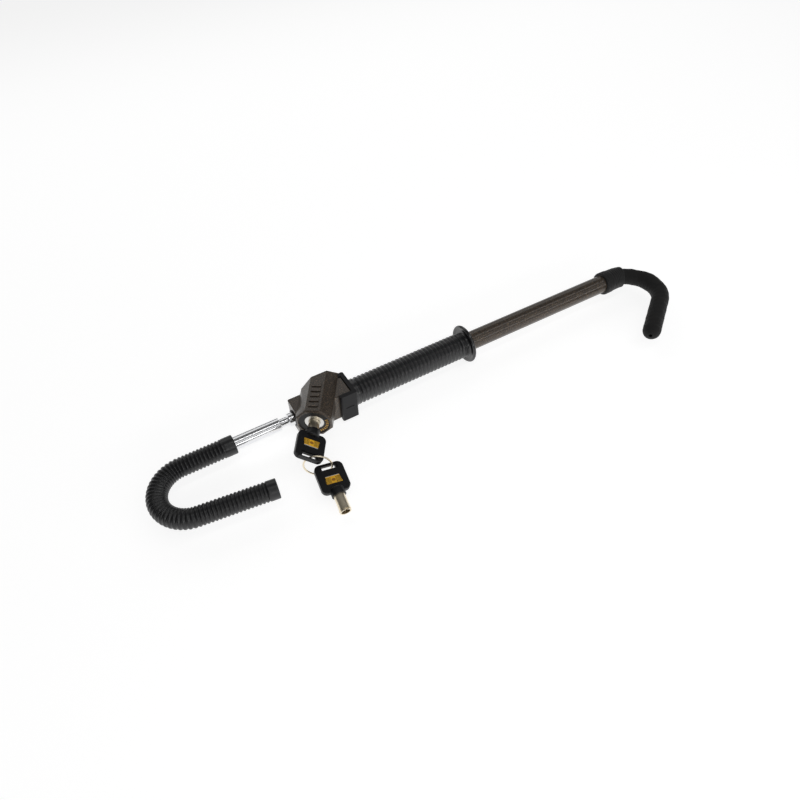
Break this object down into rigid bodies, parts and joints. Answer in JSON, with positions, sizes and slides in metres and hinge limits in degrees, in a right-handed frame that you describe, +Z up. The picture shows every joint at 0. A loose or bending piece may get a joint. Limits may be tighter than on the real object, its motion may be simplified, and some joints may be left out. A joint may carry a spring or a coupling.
{
  "type": "telescopic steering wheel lock",
  "caption": "Telescopic lock bar with a hook at each end: a grooved rod slides and turns in a tubular-key lock head on a gripped tube.",
  "frame": {"origin": "on the table under the middle of the lock's outline, lying on its flange with the rod at its shortest setting", "axes": "+X along the rod from the pedal hook to the wheel hook, +Z up, both hooks open towards -Y"},
  "size_m": [0.5696, 0.126, 0.0456],
  "materials": {
    "bronze_paint": "dark bronze hammertone paint",
    "chrome": "bright chrome plate",
    "black_plastic": "satin moulded plastic",
    "bow_plastic": "satin moulded plastic",
    "dial": "black with plain ochre marks",
    "lock_face": "satin nickel plate",
    "steel": "plain zinc-plated steel",
    "nickel": "warm nickel plate",
    "brass": "machined brass",
    "nylon": "natural nylon",
    "grip_rubber": "moulded rubber, satin",
    "cover_rubber": "soft matt foam rubber",
    "collar_rubber": "matt moulded rubber",
    "sleeve_rubber": "corrugated rubber hose",
    "label": "plain yellow label with stripes"
  },
  "bodies": {
    "head": {"lock_housing": "bronze_paint", "rod_bush": "black_plastic", "dial_ring": "dial", "cylinder_body": "lock_face", "barrel_grub_screw": "steel", "tube_grub_screw": "steel", "end_cap": "black_plastic", "grip": "grip_rubber", "main_tube": "bronze_paint", "hook_rod": "steel", "hook_ferrule": "steel", "hook_roll_pin": "steel", "hook_cover": "cover_rubber", "hook_collar": "collar_rubber"},
    "rod_slider": {"rod_guide_bush": "nylon"},
    "shackle": {"shackle_rod": "chrome", "pedal_hook_sleeve": "sleeve_rubber", "rod_end_washer": "steel", "rod_end_screw": "steel"},
    "plug": {"cylinder_plug": "brass", "locking_pin": "steel", "tumbler_pin_1": "brass", "tumbler_pin_2": "brass", "tumbler_pin_3": "brass", "tumbler_pin_4": "brass", "tumbler_pin_5": "brass", "tumbler_pin_6": "brass", "tumbler_pin_7": "brass"},
    "key": {"key_shank": "nickel", "key_bow": "bow_plastic", "key_label": "label"},
    "ring": {"split_ring": "nickel"},
    "spare_key": {"spare_key_shank": "nickel", "spare_key_bow": "bow_plastic", "spare_key_label": "label"}
  },
  "joints": [
    {"name": "rod_slide", "type": "slide", "parent": "head", "child": "rod_slider", "axis": [-1, 0, 0], "range_m": [0, 0.198]},
    {"name": "rod_swivel", "type": "hinge", "parent": "rod_slider", "child": "shackle", "pos_m": [-0.11585, 0.04341, 0.0196], "axis": [1, 0, 0], "continuous": true},
    {"name": "plug_turn", "type": "hinge", "parent": "head", "child": "plug", "pos_m": [-0.11585, 0.04341, 0.0286], "axis": [0.5446, 0.8387, 0], "range_deg": [0, 50]},
    {"name": "key_pull", "type": "slide", "parent": "plug", "child": "key", "axis": [-0.5446, -0.8387, 0], "range_m": [0, 0.012]},
    {"name": "ring_swing", "type": "hinge", "parent": "key", "child": "ring", "pos_m": [-0.14922, -0.01147, 0.0275], "axis": [0.8221, -0.43, 0.3732], "range_deg": [-20, 20]},
    {"name": "spare_key_swing", "type": "hinge", "parent": "ring", "child": "spare_key", "pos_m": [-0.13484, -0.01978, 0.01278], "axis": [0.2439, -0.0958, 0.9651], "range_deg": [-20, 20]}
  ]
}
